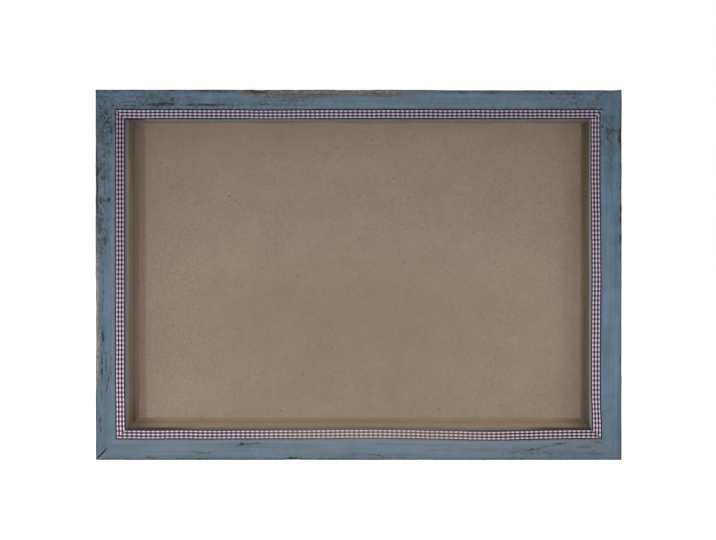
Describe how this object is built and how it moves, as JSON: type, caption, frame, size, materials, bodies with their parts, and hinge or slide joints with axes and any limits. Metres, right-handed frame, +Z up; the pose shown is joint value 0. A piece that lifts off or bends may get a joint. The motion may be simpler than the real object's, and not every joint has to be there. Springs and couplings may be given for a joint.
{
  "type": "box picture frame",
  "caption": "Deep mitred picture frame in distressed painted wood, with glass, spacer walls, a fibreboard back held by turn buttons, D-ring hangers and a gingham ribbon along the face.",
  "frame": {"origin": "middle of the bottom rail's underside, halfway through the rail's depth, where the frame stands on a shelf", "axes": "+X to the right seen from the front, +Y from the front towards the wall behind, +Z up"},
  "size_m": [0.338, 0.0397, 0.238],
  "materials": {
    "painted_wood": "matt slate-blue paint, rubbed through to dark primer and bare wood along the edges",
    "gingham_ribbon": "woven plum and off-white gingham",
    "clear_glass": "clear float glass with ground edges",
    "spacer_board": "brown fibreboard strip",
    "fibreboard": "brown speckled fibreboard, smooth",
    "zinc_steel": "zinc-plated steel"
  },
  "bodies": {
    "frame": {"rail_top": "painted_wood", "rail_right": "painted_wood", "rail_bottom": "painted_wood", "rail_left": "painted_wood", "ribbon_top": "gingham_ribbon", "ribbon_right": "gingham_ribbon", "ribbon_bottom": "gingham_ribbon", "ribbon_left": "gingham_ribbon", "glass_pane": "clear_glass", "spacer_top": "spacer_board", "spacer_right": "spacer_board", "spacer_bottom": "spacer_board", "spacer_left": "spacer_board", "back_panel": "fibreboard", "v_nail_top_right_outer": "zinc_steel", "v_nail_top_right_inner": "zinc_steel", "v_nail_bottom_right_outer": "zinc_steel", "v_nail_bottom_right_inner": "zinc_steel", "v_nail_bottom_left_outer": "zinc_steel", "v_nail_bottom_left_inner": "zinc_steel", "v_nail_top_left_outer": "zinc_steel", "v_nail_top_left_inner": "zinc_steel", "button_screw_top_left": "zinc_steel", "button_screw_top_right": "zinc_steel", "button_screw_right_middle": "zinc_steel", "button_screw_bottom_right": "zinc_steel", "button_screw_bottom_left": "zinc_steel", "button_screw_left_middle": "zinc_steel", "hanger_strap_left": "zinc_steel", "hanger_strap_right": "zinc_steel", "hanger_screw_left": "zinc_steel", "hanger_screw_right": "zinc_steel"},
    "button_top_left": {"turn_button_top_left": "zinc_steel"},
    "button_top_right": {"turn_button_top_right": "zinc_steel"},
    "button_right_middle": {"turn_button_right_middle": "zinc_steel"},
    "button_bottom_right": {"turn_button_bottom_right": "zinc_steel"},
    "button_bottom_left": {"turn_button_bottom_left": "zinc_steel"},
    "button_left_middle": {"turn_button_left_middle": "zinc_steel"},
    "ring_left": {"hanger_ring_left": "zinc_steel"},
    "ring_right": {"hanger_ring_right": "zinc_steel"}
  },
  "joints": [
    {"name": "turn_top_left", "type": "hinge", "parent": "frame", "child": "button_top_left", "pos_m": [-0.09, 0.0173, 0.231], "axis": [0, 1, 0], "continuous": true},
    {"name": "turn_top_right", "type": "hinge", "parent": "frame", "child": "button_top_right", "pos_m": [0.09, 0.0173, 0.231], "axis": [0, 1, 0], "continuous": true},
    {"name": "turn_right_middle", "type": "hinge", "parent": "frame", "child": "button_right_middle", "pos_m": [0.162, 0.0173, 0.119], "axis": [0, 1, 0], "continuous": true},
    {"name": "turn_bottom_right", "type": "hinge", "parent": "frame", "child": "button_bottom_right", "pos_m": [0.09, 0.0173, 0.007], "axis": [0, 1, 0], "continuous": true},
    {"name": "turn_bottom_left", "type": "hinge", "parent": "frame", "child": "button_bottom_left", "pos_m": [-0.09, 0.0173, 0.007], "axis": [0, 1, 0], "continuous": true},
    {"name": "turn_left_middle", "type": "hinge", "parent": "frame", "child": "button_left_middle", "pos_m": [-0.162, 0.0173, 0.119], "axis": [0, 1, 0], "continuous": true},
    {"name": "swing_left", "type": "hinge", "parent": "frame", "child": "ring_left", "pos_m": [-0.162, 0.0189, 0.172], "axis": [1, 0, 0], "range_deg": [0, 167]},
    {"name": "swing_right", "type": "hinge", "parent": "frame", "child": "ring_right", "pos_m": [0.162, 0.0189, 0.172], "axis": [1, 0, 0], "range_deg": [0, 167]}
  ]
}
